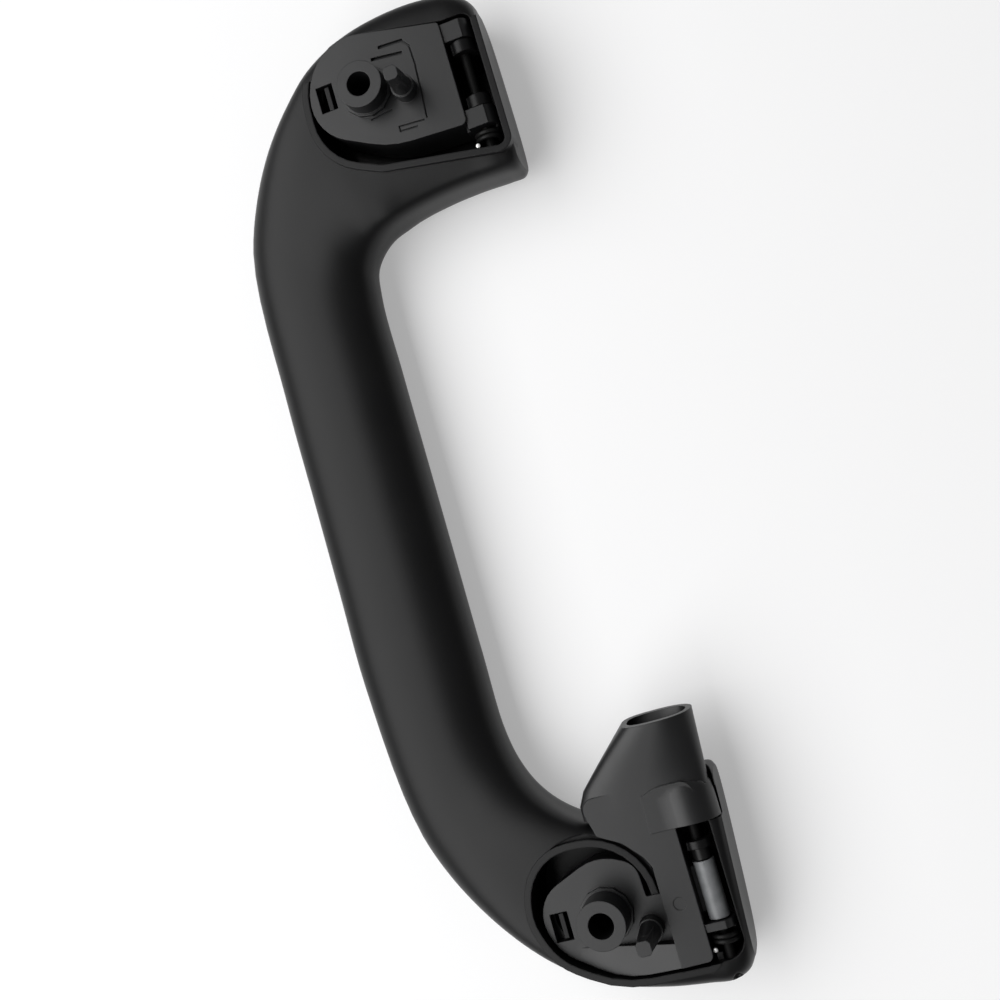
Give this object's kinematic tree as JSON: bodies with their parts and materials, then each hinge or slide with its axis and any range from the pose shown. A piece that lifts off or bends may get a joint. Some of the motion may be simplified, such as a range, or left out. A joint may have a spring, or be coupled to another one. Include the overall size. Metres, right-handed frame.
{
  "type": "roof grab handle",
  "caption": "Folding roof grab handle with sprung hinge brackets in its end pods, snap-in screw covers, a damper and a hollow coat hook.",
  "frame": {"origin": "halfway between the two screw bosses, in the plane of their faces", "axes": "+X along the hinge line towards the coat hook end, +Y from the grip towards the hinge line, +Z out of the bosses towards the roof"},
  "size_m": [0.2642, 0.0842, 0.0375],
  "materials": {
    "grip_plastic": "fine grained, satin black",
    "bracket_plastic": "moulded, satin black",
    "cover_plastic": "fine grained, satin black",
    "pin_steel": "drawn, dark phosphate",
    "spring_steel": "dark wire with bright cut ends",
    "damper_plastic": "moulded, pale grey",
    "rotor_plastic": "moulded, dark grey",
    "soft_rubber": "matt"
  },
  "bodies": {
    "grip": {"grip_body": "grip_plastic", "hinge_pin_front": "pin_steel", "hinge_pin_rear_outer": "pin_steel", "hinge_pin_rear_inner": "pin_steel", "return_spring_front": "spring_steel", "return_spring_rear": "spring_steel", "damper_rotor": "rotor_plastic", "stop_pad_front": "soft_rubber", "stop_pad_rear": "soft_rubber"},
    "front_bracket": {"bracket_front": "bracket_plastic", "screw_cover_front": "cover_plastic"},
    "rear_bracket": {"bracket_rear": "bracket_plastic", "screw_cover_rear": "cover_plastic", "damper_case": "damper_plastic", "damper_lid": "rotor_plastic", "damper_seal": "soft_rubber"}
  },
  "joints": [
    {"name": "front_hinge", "type": "hinge", "parent": "grip", "child": "front_bracket", "pos_m": [-0.106, 0.027, -0.011], "axis": [-1, 0, 0], "range_deg": [0, 80], "stiffness_Nm_per_rad": 0.04, "springref_deg": -68.75, "deforming": ["return_spring_front"]},
    {"name": "rear_hinge", "type": "hinge", "parent": "grip", "child": "rear_bracket", "pos_m": [0.118, 0.027, -0.011], "axis": [-1, 0, 0], "range_deg": [0, 80], "stiffness_Nm_per_rad": 0.04, "springref_deg": -68.75, "deforming": ["return_spring_rear"]}
  ],
  "couplings": [
    {"joint": "front_hinge", "follows": "rear_hinge", "ratio": 1}
  ]
}
